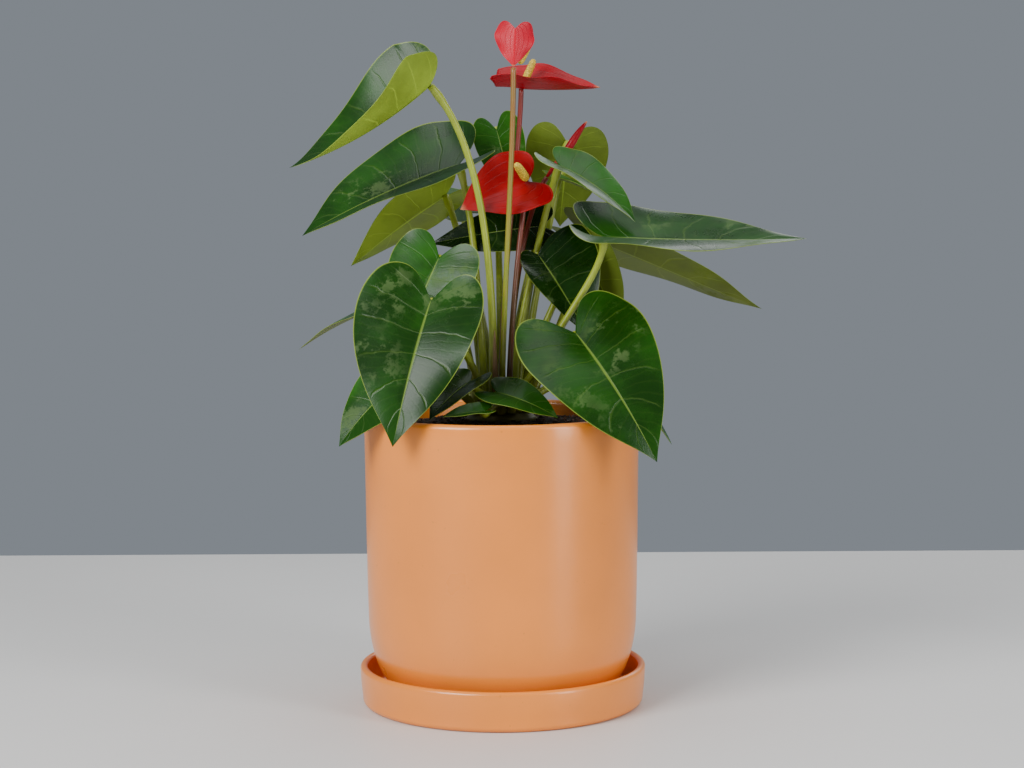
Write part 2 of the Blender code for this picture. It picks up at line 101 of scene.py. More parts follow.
# Blades. Each has the point where its stalk joins, its tip and the way its upper side faces,
# then width over length, droop along the midrib, trough angle at base and tip, curl of the
# margins and lift of the basal lobes, in degrees, and where its stalk starts and leans.
LEAVES = {
    "A": dict(join=(-34, -26, 313), tip=(-103, -33, 273), face=(-0.35, -0.30, 0.85), width=0.74,
              droop=-25, trough=(48, 12), curl=8, lift=25, root=(-4, -4), lean=(0.02, -0.30, 1)),
    "B": dict(join=(-21, 18, 275), tip=(-101, 6, 239), face=(-0.30, -0.42, 0.85), width=0.74,
              droop=12, trough=(16, 12), curl=-6, lift=20, skew=0.3, root=(-8, 0),
              lean=(-0.05, 0, 1)),
    "C": dict(join=(-29, 44, 259), tip=(-80, 55, 222), face=(-0.45, 0.55, 0.60), width=0.66,
              droop=10, trough=(12, 8), curl=-8, lift=10, root=(-9, 8), lean=(-0.08, 0.65, 1)),
    "D": dict(join=(-19, 74, 250), tip=(-46, 96, 263), face=(0.00, -0.50, 0.85), width=0.75,
              droop=15, trough=(12, 8), curl=-8, lift=10, root=(-4, 12), lean=(-0.05, 0.35, 1)),
    "E": dict(join=(21, 28, 243), tip=(-37, 26, 234), face=(0.00, -1.00, 0.40), width=0.46,
              droop=18, trough=(12, 8), curl=-8, lift=12, lobes=0.6, reach=0.1, root=(4, 7),
              lean=(0.05, 0.05, 1)),
    "F": dict(join=(36, 70, 287), tip=(32, 82, 242), face=(0.10, 0.80, 0.30), width=0.95,
              droop=12, trough=(10, 8), curl=-8, lift=10, root=(10, 12), lean=(0.10, 1.10, 1)),
    "G": dict(join=(30, 4, 274), tip=(68, -12, 245), face=(0.45, -0.40, 0.80), width=0.80,
              droop=25, trough=(18, 12), curl=-8, lift=15, root=(8, 3), lean=(0.05, 0.16, 1)),
    "H": dict(join=(29, 41, 268), tip=(61, 45, 254), face=(0.10, -0.12, 0.90), width=0.50,
              droop=15, trough=(12, 8), curl=-8, lift=10, root=(4, 12), lean=(0.05, 0.60, 1)),
    "I": dict(join=(52, -16, 238), tip=(152, -26, 237), face=(0.00, -0.30, 1.00), width=0.68,
              droop=-6, trough=(14, 6), curl=-4, lift=40, root=(12, -5), lean=(0.25, -0.12, 1)),
    "J": dict(join=(48, 46, 236), tip=(139, 54, 198), face=(0.30, 0.40, 0.80), width=0.50,
              droop=0, trough=(10, 6), curl=-4, lift=10, root=(13.5, 7.5), lean=(0.4, 0.4, 1)),
    "K": dict(join=(42, 18, 230), tip=(62, 22, 190), face=(0.35, 0.75, 0.50), width=0.70,
              droop=15, trough=(10, 8), curl=-8, lift=10, reach=0.08, root=(9, 7),
              lean=(0.2, 0.05, 1)),
    "M": dict(join=(19, 5, 229), tip=(44, 2, 188), face=(0.25, -0.85, 0.30), width=0.85,
              droop=15, trough=(16, 10), curl=-8, lift=12, skew=-0.40, lobes=0.5, reach=0.05,
              root=(6, -2), lean=(0, 0.1, 1)),
    "N1": dict(join=(-34, -38, 208), tip=(-52, -66, 139), face=(-0.10, -0.90, 0.35), width=0.80,
               droop=28, trough=(10, 6), curl=-10, lift=12, skew=0.12, root=(-8, -9),
               lean=(-0.1, -0.1, 1)),
    "N2": dict(join=(37, -28, 191), tip=(75, -66, 131), face=(0.08, -0.85, 0.50), width=0.80,
               droop=32, trough=(10, 6), curl=-10, lift=12, root=(8, -8), lean=(0, -0.25, 1)),
    "O": dict(join=(-31, -2, 228), tip=(-50, -14, 182), face=(-0.10, -0.85, 0.50), width=0.90,
              droop=15, trough=(12, 8), curl=-10, lift=12, root=(-12, -3), lean=(-0.1, 0.1, 1)),
    "P": dict(join=(-50, -26, 168), tip=(-80, -38, 136), face=(-0.30, -0.70, 0.70), width=0.80,
              droop=25, trough=(10, 8), curl=-8, lift=10, root=(-13, -8), lean=(-0.4, -0.1, 1)),
    "Q": dict(join=(-58, 45, 202), tip=(-109, 60, 177), face=(-0.20, -0.10, 1.00), width=0.65,
              droop=20, trough=(12, 8), curl=-8, lift=10, root=(-13, 4), lean=(-0.3, 0.2, 1)),
    "R": dict(join=(57, 30, 164), tip=(90, 38, 127), face=(0.50, -0.20, 0.80), width=0.70,
              droop=20, trough=(12, 8), curl=-8, lift=10, root=(13, 1), lean=(0.5, 0.2, 1)),
    "S1": dict(join=(-15, -26, 167), tip=(-35, -50, 150), face=(-0.20, -0.40, 0.90), width=0.70,
               droop=20, trough=(18, 10), curl=-6, lift=10, root=(-4, -13), lean=(-0.2, -0.1, 1)),
    "S2": dict(join=(-8, -46, 154), tip=(-29, -54, 152), face=(0.00, -0.50, 0.90), width=0.50,
               droop=10, trough=(24, 16), curl=0, lift=10, root=(0, -14), lean=(0, -0.5, 1)),
    "S3": dict(join=(-2, -34, 162), tip=(28, -52, 151), face=(0.10, -0.50, 0.80), width=0.70,
               droop=20, trough=(14, 8), curl=-6, lift=10, root=(5, -13), lean=(0, -0.2, 1)),
    "T": dict(join=(-2, 60, 294), tip=(8, 64, 256), face=(-0.10, -0.80, 0.50), width=0.68,
              droop=12, trough=(10, 8), curl=-8, lift=10, root=(0, 12), lean=(0, 0.45, 1)),
}

# Spathes, in the same terms; each stands on its own flower stalk and carries a spadix, which
# starts at "spadix" and points along "points".
SPATHES = {
    "1": dict(join=(8, -20, 341), tip=(7, -22, 322), face=(0.00, 0.95, 0.10), width=1.15,
              droop=-20, trough=(24, 20), curl=10, lift=-10, root=(0, -5),
              lean=(0.03, -0.22, 1), spadix=(10, -17, 324), points=(0.45, 0.45, 0.80),
              spadix_size=(11, 1.7)),
    "2": dict(join=(11, 8, 313), tip=(51, 2, 313), face=(0.00, -0.25, 0.95), width=0.85,
              droop=-8, trough=(36, 30), curl=0, lift=-8, lobes=2.0, root=(0, 3), lean=(0, 0, 1),
              spadix=(12, 8, 315), points=(0.40, 0.05, 0.90), spadix_size=(14, 2.0)),
    "3": dict(join=(14, 0, 266), tip=(-20, -10, 252), face=(-0.10, -0.85, 0.50), width=1.00,
              droop=20, trough=(14, 10), curl=-6, lift=14, reach=0.03, root=(4, -6),
              lean=(0, -0.16, 1), spadix=(13.5, -2, 267), points=(-0.35, -0.75, 0.50),
              spadix_size=(15, 2.3)),
}

# Rolled shapes, each from its foot to its tip: a closed flower bud and a papery bud sheath.
BUD_FOOT = (24, 24, 268)
BUD_TIP = (45, 25, 297)
BUD_R = 2.0
BUD_ROOT = (4, 3)
SHEATH_FOOT = (-3, -9, 150.6)
SHEATH_TIP = (-3, -17, 192)
SHEATH_R = 1.4


def unit(vector):
    return vector / np.linalg.norm(vector)


def smooth_through(x, knots, values):
    """Natural cubic spline through the knots."""
    count = len(knots)
    step = np.diff(knots)
    system = np.eye(count)
    right = np.zeros(count)
    for i in range(1, count - 1):
        system[i, i - 1:i + 2] = step[i - 1], 2 * (step[i - 1] + step[i]), step[i]
        slope_after = (values[i + 1] - values[i]) / step[i]
        slope_before = (values[i] - values[i - 1]) / step[i - 1]
        right[i] = 3 * (slope_after - slope_before)
    bend = np.linalg.solve(system, right)
    i = np.clip(np.searchsorted(knots, x) - 1, 0, count - 2)
    cubic = (bend[i + 1] - bend[i]) / (3 * step[i])
    linear = (values[i + 1] - values[i]) / step[i] - step[i] * (2 * bend[i] + bend[i + 1]) / 3
    t = x - np.asarray(knots)[i]
    return np.asarray(values)[i] + linear * t + bend[i] * t**2 + cubic * t**3


def midrib(droop, lift):
    """Samples of the bent midrib: distance along, slope, forward and up, for unit length."""
    along = np.linspace(-0.3, 1.0, 131)
    slope = np.where(along >= 0, -droop * along, lift * along / 0.2)
    middle = (slope[1:] + slope[:-1]) / 2
    step = along[1] - along[0]
    forward = np.concatenate([[0.0], np.cumsum(np.cos(middle)) * step])
    up = np.concatenate([[0.0], np.cumsum(np.sin(middle)) * step])
    return along, slope, forward - np.interp(0, along, forward), up - np.interp(0, along, up)


def blade_frame(spec):
    """Length of the blade and its axes across, along the chord and up, with the chord's tilt."""
    join = np.array(spec["join"], float)
    chord = np.array(spec["tip"], float) - join
    along, _, forward, up = midrib(math.radians(spec["droop"]), math.radians(spec["lift"]))
    reach = math.hypot(np.interp(1, along, forward), np.interp(1, along, up))
    tilt = math.atan2(np.interp(1, along, up), np.interp(1, along, forward))
    y_axis = unit(chord)
    face = np.array(spec["face"], float)
    z_axis = unit(face - face.dot(y_axis) * y_axis)
    return np.linalg.norm(chord) / reach, np.cross(y_axis, z_axis), y_axis, z_axis, tilt


def blade_points(spec, s, t):
    """Points of a blade: s runs round the outline from stalk to tip, t from margin to margin."""
    knots, across, ahead = (np.array(column) for column in zip(*OUTLINE))
    margin_x = smooth_through(s, knots, across) * spec["width"]
    margin_y = smooth_through(s, knots, ahead)
    margin_x = margin_x * (1 + spec.get("skew", 0.0) * np.sign(t))
    margin_y = np.where(margin_y < 0, margin_y * spec.get("lobes", 1.0), margin_y)
    rib_y = s**1.5
    x = t * margin_x
    y = rib_y + (margin_y - rib_y) * np.abs(t)
    along, slope, forward, up = midrib(math.radians(spec["droop"]), math.radians(spec["lift"]))
    angle = np.interp(y, along, slope)
    base, tip = (math.radians(a) for a in spec["trough"])
    fold = base + (tip - base) * np.clip(y, 0, 1)
    bow = math.radians(spec["curl"] or 0.1) / 0.45
    side = np.abs(x)
    out = (np.sin(fold + bow * side) - np.sin(fold)) / bow * np.sign(x)
    rise = (np.cos(fold) - np.cos(fold + bow * side)) / bow
    ahead_y = np.interp(y, along, forward) - rise * np.sin(angle)
    above = np.interp(y, along, up) + rise * np.cos(angle)
    length, x_axis, y_axis, z_axis, tilt = blade_frame(spec)
    level_y = ahead_y * math.cos(tilt) + above * math.sin(tilt)
    level_z = above * math.cos(tilt) - ahead_y * math.sin(tilt)
    shape = out[..., None] * x_axis + level_y[..., None] * y_axis + level_z[..., None] * z_axis
    return np.array(spec["join"], float) + length * shape


def joint_normal(spec):
    """Which way the upper side faces where the stalk joins."""
    _, _, y_axis, z_axis, tilt = blade_frame(spec)
    return z_axis * math.cos(tilt) + y_axis * math.sin(tilt)


def cubic_route(start, end, lean, arrive, rise, reach, count):
    """Cubic curve that leaves start along lean and comes into end along arrive."""
    span = np.linalg.norm(end - start)
    controls = (start, start + unit(lean) * span * rise, end - arrive * span * reach, end)
    t = np.linspace(0, 1, count)[:, None]
    weights = ((1 - t)**3, 3 * (1 - t)**2 * t, 3 * (1 - t) * t**2, t**3)
    return sum(weight * control for weight, control in zip(weights, controls))


class Wire:
    """A node socket, or a bare tree; sums and products of wires add Math nodes."""

    def __init__(self, tree, socket=None):
        self.tree = tree
        self.socket = socket

    def node(self, kind, settings, inputs, output=0):
        """Adds any node: its settings are set first, then the values or links of its sockets."""
        made = self.tree.nodes.new(kind)
        for key, value in settings.items():
            setattr(made, key, value)
        for key, value in inputs.items():
            if isinstance(value, Wire):
                self.tree.links.new(value.socket, made.inputs[key])
            else:
                made.inputs[key].default_value = value
        return Wire(self.tree, made.outputs[output])

    def maths(self, operation, first, second=0.0):
        return self.node("ShaderNodeMath", {"operation": operation}, {0: first, 1: second})

    def __add__(self, other):
        return self.maths("ADD", self, other)

    def __radd__(self, other):
        return self.maths("ADD", other, self)

    def __sub__(self, other):
        return self.maths("SUBTRACT", self, other)

    def __rsub__(self, other):
        return self.maths("SUBTRACT", other, self)

    def __mul__(self, other):
        return self.maths("MULTIPLY", self, other)

    def __rmul__(self, other):
        return self.maths("MULTIPLY", other, self)

    def __abs__(self):
        return self.maths("ABSOLUTE", self)

    def step(self, low, high):
        """0 below low and 1 above high, smooth between; low may be above high."""
        settings = {"interpolation_type": "SMOOTHSTEP"}
        inputs = {"Value": self, "From Min": low, "From Max": high}
        return self.node("ShaderNodeMapRange", settings, inputs)

    def mix(self, share, first, second):
        """Colour mix: first where share is 0, second where it is 1."""
        inputs = {0: share, 6: first, 7: second}
        return self.node("ShaderNodeMix", {"data_type": "RGBA"}, inputs, 2)

    def noise(self, scale, detail=4.0, rough=0.55, vector=None):
        place = vector or self.node("ShaderNodeTexCoord", {}, {}, 3)
        inputs = {"Vector": place, "Scale": scale, "Detail": detail, "Roughness": rough}
        return self.node("ShaderNodeTexNoise", {}, inputs)

    def bump(self, height, strength, distance, before=None):
        inputs = {"Height": height, "Strength": strength, "Distance": distance}
        if before:
            inputs["Normal"] = before
        return self.node("ShaderNodeBump", {}, inputs)


def new_material(name):
    """Material, its Principled shader and a bare wire for building the rest."""
    material = bpy.data.materials.new(name)
    material.use_nodes = True
    shader = material.node_tree.nodes["Principled BSDF"]
    return material, shader, Wire(material.node_tree)


def join(shader, name, wire):
    wire.tree.links.new(wire.socket, shader.inputs[name])


def rgba(colour):
    return (*colour, 1.0)


def scaled(colour, factor):
    return tuple(channel * factor for channel in colour)


def leaf_material(name, top, under, gloss, seed):
    """Leaf skin: sunk side veins and midrib, a pale margin, painted patches of pale sheen standing in for
    broken reflections, and an olive underside.

    The UV map gives t across (0.5 on the midrib) and s from base to tip. Side veins lie where 7 s
    less 0.9 t is a whole number, so their mask is a narrow triangle wave of that sum, shaken a
    little by noise; the small veins are the same with steeper numbers.
    """
    material, shader, net = new_material(name)
    place = net.node("ShaderNodeUVMap", {"uv_map": "place"}, {})
    across = net.node("ShaderNodeSeparateXYZ", {}, {0: place}, 0)
    along = net.node("ShaderNodeSeparateXYZ", {}, {0: place}, 1)
    t = abs(across * 2.0 - 1.0)
    below = net.node("ShaderNodeAttribute", {"attribute_name": "under"}, {}, 2)
    wobble = net.noise(55.0 + seed, 3.0)
    waves = net.maths("PINGPONG", along * 7.0 + wobble * 0.45 + t * -0.9, 0.5)
    side_vein = waves.step(0.045, 0.0) * t.step(1.0, 0.75)
    small_wave = net.maths("PINGPONG", along * 24.0 + wobble * 1.6 + t * -1.8, 0.5)
    small_vein = small_wave.step(0.16, 0.0)
    midrib = t.step(0.030, 0.008) * along.step(1.0, 0.9)
    margin = t.step(0.975, 0.997)
    mottle = net.noise(24.0 + seed, 6.0, 0.62).step(0.35, 0.68)
    painted_sheen = net.noise(62.0 + seed, 7.0, 0.74).step(0.53, 0.60) * net.noise(17.0, 3.0).step(0.46, 0.60)
    skin = net.mix(mottle, rgba(scaled(top, 0.55)), rgba(scaled(top, 1.25)))
    pale = scaled((0.16, 0.26, 0.04), 0.8)
    skin = net.mix(side_vein * 0.16, skin, rgba(pale))
    skin = net.mix(small_vein * 0.03, skin, rgba(pale))
    # Painted reflection: pale patches where the glossy upper side would show broken reflections of the
    # lights.
    skin = net.mix(painted_sheen * 0.34, skin, rgba((0.13, 0.20, 0.06)))
    skin = net.mix(midrib * 0.45, skin, rgba((0.24, 0.36, 0.05)))
    skin = net.mix(margin * 0.55, skin, rgba((0.34, 0.44, 0.06)))
    back = net.mix(mottle, rgba(scaled(under, 0.75)), rgba(scaled(under, 1.15)))
    back = net.mix(side_vein * 0.45, back, rgba(scaled(under, 1.7)))
    back = net.mix(midrib * 0.8, back, rgba(scaled(under, 2.0)))
    join(shader, "Base Color", net.mix(below, skin, back))
    rough = gloss + painted_sheen * 0.22 + mottle * 0.06 + below * 0.22
    join(shader, "Roughness", rough)
    relief = 1.0 - side_vein * 0.7 - small_vein * 0.06 - midrib * 0.9
    fine = net.noise(900.0, 2.0)
    soft = net.bump(relief, 0.30, 0.0006)
    join(shader, "Normal", net.bump(fine, 0.12, 0.0002, soft))
    shader.inputs["Specular IOR Level"].default_value = 0.22
    shader.inputs["Coat Weight"].default_value = 0.03
    shader.inputs["Coat Roughness"].default_value = 0.12
    return material


def spathe_material(name, colour, glow):
    """Waxy spathe: long veins fan from the base, their sunk grooves darkened with painted shade, and a
    lighter rim.
    """
    material, shader, net = new_material(name)
    place = net.node("ShaderNodeUVMap", {"uv_map": "place"}, {})
    across = net.node("ShaderNodeSeparateXYZ", {}, {0: place}, 0)
    along = net.node("ShaderNodeSeparateXYZ", {}, {0: place}, 1)
    t = abs(across * 2.0 - 1.0)
    wobble = net.noise(70.0, 3.0)
    rib = net.maths("PINGPONG", t * 4.0 + wobble * 0.5, 0.5).step(0.09, 0.0)
    cell = net.noise(160.0, 5.0, 0.6).step(0.35, 0.70)
    mottle = net.noise(38.0, 4.0).step(0.30, 0.70)
    below = net.node("ShaderNodeAttribute", {"attribute_name": "under"}, {}, 2)
    skin = net.mix(mottle, rgba(scaled(colour, 0.70)), rgba(colour))
    skin = net.mix(below * 0.55, skin, rgba(glow))
    # Painted shade: the sunk vein grooves are darkened to 0.45 of the red.
    skin = net.mix(rib * 0.35, skin, rgba(scaled(colour, 0.45)))
    skin = net.mix(t.step(0.95, 1.0) * 0.4, skin, rgba(glow))
    tip_share = along.step(0.93, 1.0) * 0.7
    join(shader, "Base Color", net.mix(tip_share, skin, rgba((0.62, 0.26, 0.12))))
    join(shader, "Roughness", 0.34 + mottle * 0.12 + cell * 0.05)
    relief = rib * -0.7 + cell * 0.35 + t * 0.2
    join(shader, "Normal", net.bump(relief, 0.30, 0.0006))
    shader.inputs["Specular IOR Level"].default_value = 0.20
    shader.inputs["Coat Weight"].default_value = 0.03
    shader.inputs["Coat Roughness"].default_value = 0.10
    return material


def stem_material(name, low, high, rough):
    """Stem skin: colour runs from low at the crown to high at the joint, with fine streaks."""
    material, shader, net = new_material(name)
    place = net.node("ShaderNodeUVMap", {"uv_map": "place"}, {})
    along = net.node("ShaderNodeSeparateXYZ", {}, {0: place}, 1)
    spot = net.node("ShaderNodeTexCoord", {}, {}, 3)
    settings = {"vector_type": "POINT"}
    streaks = net.node("ShaderNodeMapping", settings, {"Vector": spot, "Scale": (1, 1, 0.06)})
    fibre = net.noise(900.0, 4.0, 0.6, streaks)
    blotch = net.noise(70.0, 4.0).step(0.35, 0.70)
    skin = net.mix(along.step(0.25, 0.85), rgba(low), rgba(high))
    skin = net.mix(blotch * 0.30, skin, rgba(scaled(low, 0.6)))
    skin = net.mix(fibre.step(0.45, 0.65) * 0.25, skin, rgba(scaled(high, 1.4)))
    join(shader, "Base Color", skin)
    join(shader, "Roughness", rough + blotch * 0.12)
    join(shader, "Normal", net.bump(fibre, 0.25, 0.0003))
    return material


def spadix_material(colour):
    """Spadix: close-set raised florets from a Voronoi pattern, with painted shade in the gaps between
    them.
    """
    material, shader, net = new_material("spadix_florets")
    spot = net.node("ShaderNodeTexCoord", {}, {}, 3)
    cells = net.node("ShaderNodeTexVoronoi", {}, {"Vector": spot, "Scale": 1100.0})
    shade = cells.step(0.15, 0.75)
    # Painted shade: away from each floret's centre, in the gaps, the yellow darkens to 0.55.
    join(shader, "Base Color", net.mix(shade, rgba(colour), rgba(scaled(colour, 0.55))))
    join(shader, "Roughness", 0.38 + shade * 0.25)
    join(shader, "Normal", net.bump(1.0 - cells, 0.7, 0.0005))
    return material


def glaze_material(colour):
    """Satin glaze: faint cloudiness, tiny pinholes and a very soft orange-peel surface."""
    material, shader, net = new_material("pot_glaze_finish")
    cloud = net.noise(14.0, 5.0, 0.5).step(0.30, 0.72)
    speck = net.noise(420.0, 2.0).step(0.70, 0.78)
    skin = net.mix(cloud, rgba(scaled(colour, 0.93)), rgba(scaled(colour, 1.05)))
    skin = net.mix(speck * 0.35, skin, rgba(scaled(colour, 0.55)))
    join(shader, "Base Color", skin)
    join(shader, "Roughness", 0.27 + cloud * 0.08)
    peel = net.bump(net.noise(95.0, 3.0), 0.16, 0.0006)
    join(shader, "Normal", net.bump(net.noise(1300.0, 2.0), 0.06, 0.0002, peel))
    shader.inputs["Coat Weight"].default_value = 0.30
    shader.inputs["Coat Roughness"].default_value = 0.16
    return material


def crumb_material(name, dark, light, rust):
    """Peaty crumbs: dark ground, lighter fibres and rusty bark flecks."""
    material, shader, net = new_material(name)
    grain = net.noise(260.0, 8.0, 0.7)
    fleck = net.noise(120.0, 5.0, 0.6).step(0.56, 0.66)
    skin = net.mix(grain.step(0.35, 0.70), rgba(dark), rgba(light))
    join(shader, "Base Color", net.mix(fleck * 0.7, skin, rgba(rust)))
    join(shader, "Roughness", 0.75 + grain * 0.2)
    join(shader, "Normal", net.bump(grain, 0.9, 0.0015))
    return material


def floor_material(colour):
    material, shader, net = new_material("pale_table")
    cloud = net.noise(3.0, 5.0).step(0.3, 0.7)
    join(shader, "Base Color", net.mix(cloud, rgba(colour), rgba(scaled(colour, 0.96))))
    join(shader, "Roughness", 0.42 + cloud * 0.08)
    return material


def skin_mesh(name, points, place, material, around=False, under=None):
    """Closed skin over rows of closed rings, in millimetres.

    Each quad between two rows is cut into two triangles. The first and last rows shrink to one
    point each, unless around is set, which joins the last row to the first. If the signed volume,
    the sum of the triple products of the triangles, is negative, the faces are turned round.
    """
    rows, ring = points.shape[:2]
    index = np.arange(rows * ring).reshape(rows, ring)
    here = index if around else index[:-1]
    ahead = np.roll(index, -1, 0) if around else index[1:]
    corners = (here, np.roll(here, -1, 1), np.roll(ahead, -1, 1), ahead)
    a, b, c, d = (corner.ravel() for corner in corners)
    faces = np.concatenate([np.stack([a, b, c], 1), np.stack([a, c, d], 1)])
    weld = index.copy()
    if not around:
        weld[0] = index[0, 0]
        weld[-1] = index[-1, 0]
    weld = weld.ravel()
    joined = weld[faces]
    whole = (joined[:, 0] != joined[:, 1]) & (joined[:, 1] != joined[:, 2])
    whole &= joined[:, 0] != joined[:, 2]
    faces, joined = faces[whole], joined[whole]
    kept, packed = np.unique(joined, return_inverse=True)
    packed = packed.reshape(-1, 3)
    verts = points.reshape(-1, 3)[kept] * MM
    volume = np.einsum("ij,ij->", verts[packed[:, 0]],
                       np.cross(verts[packed[:, 1]], verts[packed[:, 2]]))
    if volume < 0:
        packed, faces = packed[:, ::-1], faces[:, ::-1]
    mesh = bpy.data.meshes.new(name)
    mesh.from_pydata(verts.tolist(), [], packed.tolist())
    layer = mesh.uv_layers.new(name="place")
    layer.data.foreach_set("uv", place.reshape(-1, 2)[faces].astype(np.float32).ravel())
    if under is not None:
        values = np.broadcast_to(under, (rows, ring)).reshape(-1)[kept]
        mark = mesh.attributes.new("under", "FLOAT", "POINT")
        mark.data.foreach_set("value", values.astype(np.float32))
    mesh.shade_smooth()
    mesh.materials.append(material)
    obj = bpy.data.objects.new(name, mesh)
    bpy.context.scene.collection.objects.link(obj)
    return obj


def place_piece(obj, node=None):
    """Rides the piece on the root body and, if it stands for a CAD node, checks it lies there."""
    if node:
        low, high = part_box(node)
        own = np.array([vert.co for vert in obj.data.vertices])
        off = max(np.abs(own.min(0) - np.array(low)).max(), np.abs(own.max(0) - np.array(high)).max())
        if off > MOST_DRIFT * MM:
            raise RuntimeError(f"{obj.name} is {off / MM:.1f} mm away from {node}")
        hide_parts(node)
    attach(obj, "root")
    return obj


def blade_object(name, spec, material, thick=0.55, ripple=0.012, seed=0.0):
    """Leaf or spathe: the blade surface moved half its thickness each way along its normal.

    The normal is the cross product of the surface's two gradients. The margin ripples as a sine
    of s times the fourth power of t, and the thickness falls to nothing at both ends of the
    midrib.
    """
    s_line = np.linspace(0, 1, BLADE_ROWS)
    t_line = np.sin(np.linspace(-0.5, 0.5, 2 * BLADE_COLUMNS + 1) * math.pi)
    s, t = np.meshgrid(s_line, t_line, indexing="ij")
    sheet = blade_points(spec, s, t)
    normal = np.cross(np.gradient(sheet, axis=0), np.gradient(sheet, axis=1))
    normal[0], normal[-1] = normal[1].mean(0), normal[-2].mean(0)
    normal /= np.maximum(np.linalg.norm(normal, axis=2, keepdims=True), 1e-9)
    if (normal[BLADE_ROWS // 2, BLADE_COLUMNS] * np.array(spec["face"])).sum() < 0:
        normal = -normal
    length = blade_frame(spec)[0]
    wave = np.sin(2 * math.pi * (2.6 * s + 0.13 * seed) + np.where(t > 0, 0.0, 1.9))
    sheet = sheet + normal * (length * ripple * wave * t**4 * np.sin(math.pi * s))[..., None]
    half = 0.5 * thick * (1 - 0.5 * t**4) * np.clip(np.sin(math.pi * s) * 5, 0, 1)
    top = sheet + normal * half[..., None]
    bottom = sheet - normal * half[..., None]
    points = np.concatenate([top, bottom[:, ::-1]], axis=1)
    uv = np.stack([np.concatenate([t, t[:, ::-1]], 1) / 2 + 0.5, np.repeat(s, 2, 1)], -1)
    uv[..., 1] = s[:, :1]
    under = np.concatenate([np.zeros(t.shape[1]), np.ones(t.shape[1])])[None]
    return skin_mesh(name, points, uv, material, under=under)


def tube_object(name, route, radii, material):
    """Tube: rings carried along the route, each across its tangent, shrinking to a point at ends.

    The ring's two axes are the part of +Y at right angles to the tangent, and their cross product.
    """
    tangent = np.gradient(route, axis=0)
    tangent /= np.linalg.norm(tangent, axis=1, keepdims=True)
    side = np.array([0.0, 1.0, 0.0]) - tangent[:, 1:2] * tangent
    side /= np.linalg.norm(side, axis=1, keepdims=True)
    other = np.cross(tangent, side)
    angle = np.linspace(0, 2 * math.pi, STALK_SIDES, endpoint=False)
    spoke = np.cos(angle)[None, :, None] * side[:, None] + np.sin(angle)[None, :, None] * other[:, None]
    rings = route[:, None] + radii[:, None, None] * spoke
    points = np.concatenate([np.repeat(route[:1, None], STALK_SIDES, 1), rings,
                             np.repeat(route[-1:, None], STALK_SIDES, 1)])
    share = np.concatenate([[0], np.linspace(0, 1, len(route)), [1]])
    uv = np.stack(np.broadcast_arrays(angle[None] / (2 * math.pi), share[:, None]), -1)
    return skin_mesh(name, points, uv, material)


def turned_object(name, profile, material, around=False, wobble=None, sides=TURN_SIDES):
    """Profile of (r, z) points turned about +Z; wobble, if given, moves each point by a formula."""
    profile = np.array(profile, float)
    angle = np.linspace(0, 2 * math.pi, sides, endpoint=False)
    r, z = profile[:, :1], profile[:, 1:]
    points = np.stack(np.broadcast_arrays(r * np.cos(angle), r * np.sin(angle), z), -1)
    if wobble:
        points = wobble(points)
    share = np.linspace(0, 1, len(profile))
    uv = np.stack(np.broadcast_arrays(angle[None] / (2 * math.pi), share[:, None]), -1)
    return skin_mesh(name, points, uv, material, around)


def spindle_object(name, foot, tip, radius_at, material, rows=60, sides=40):
    """Spindle from foot to tip; radius_at gives the radius from the share along and the angle."""
    foot, tip = np.array(foot, float), np.array(tip, float)
    axis = unit(tip - foot)
    side = unit(np.cross(axis, (0.0, 1.0, 0.2)))
    other = np.cross(axis, side)
    share = np.linspace(0, 1, rows)[:, None]
    angle = np.linspace(0, 2 * math.pi, sides, endpoint=False)[None]
    r = radius_at(share, angle)[..., None]
    spoke = np.cos(angle)[..., None] * side + np.sin(angle)[..., None] * other
    points = foot + share[..., None] * (tip - foot) + r * spoke
    uv = np.stack(np.broadcast_arrays(angle / (2 * math.pi), share), -1)
    return skin_mesh(name, points, uv, material)


def arc(centre_r, centre_z, reach_r, reach_z, start, end, count):
    """Points of an elliptical arc in the profile plane, angles in degrees from +R towards +Z."""
    angle = np.radians(np.linspace(start, end, count))
    return list(zip(centre_r + reach_r * np.cos(angle), centre_z + reach_z * np.sin(angle)))


def pot_profile():
    """Closed outline: rounded lip, near-straight wall, elliptical belly, foot, hole and inside."""
    lip = POT_WALL / 2
    belly = POT_BELLY_R - POT_FOOT_R
    outline = arc(POT_RIM_R - lip, POT_TOP - lip, lip, lip, 90, 0, 9)
    outline += list(zip(np.linspace(POT_SHOULDER_R, POT_WAIST_R, 13),
                        np.linspace(POT_SHOULDER_Z, POT_WAIST_Z, 13)))
    outline += arc(POT_FOOT_R, POT_BELLY_Z, belly, POT_BELLY_Z - POT_FOOT_Z, 0, -90, 25)
    outline += [(POT_HOLE_R, POT_FOOT_Z), (POT_HOLE_R, POT_FLOOR_Z)]
    inner = POT_BELLY_Z - POT_FLOOR_Z
    outline += arc(POT_FOOT_R, POT_BELLY_Z, belly - POT_WALL, inner, -90, 0, 15)
    return outline + arc(POT_RIM_R - lip, POT_TOP - lip, lip, lip, 180, 100, 8)


def saucer_profile():
    """Floor, coved corner, rounded lip, slightly flared wall and rounded bottom edge."""
    lip = SAUCER_WALL / 2
    cove = SAUCER_COVE_R
    outline = [(0, SAUCER_FLOOR), (SAUCER_WELL_R, SAUCER_FLOOR)]
    outline += arc(SAUCER_COVE_AT, SAUCER_FLOOR + cove, cove, cove, -90, 0, 6)
    outline += arc(SAUCER_RIM_R - lip, SAUCER_HEIGHT - lip, lip, lip, 180, 0, 13)
    outline += SAUCER_FLARE
    outline += arc(SAUCER_BASE_R, SAUCER_EDGE, SAUCER_EDGE, SAUCER_EDGE, 10, -90, 10)
    return outline + [(SAUCER_FOOT_R, 0), (0, 0)]


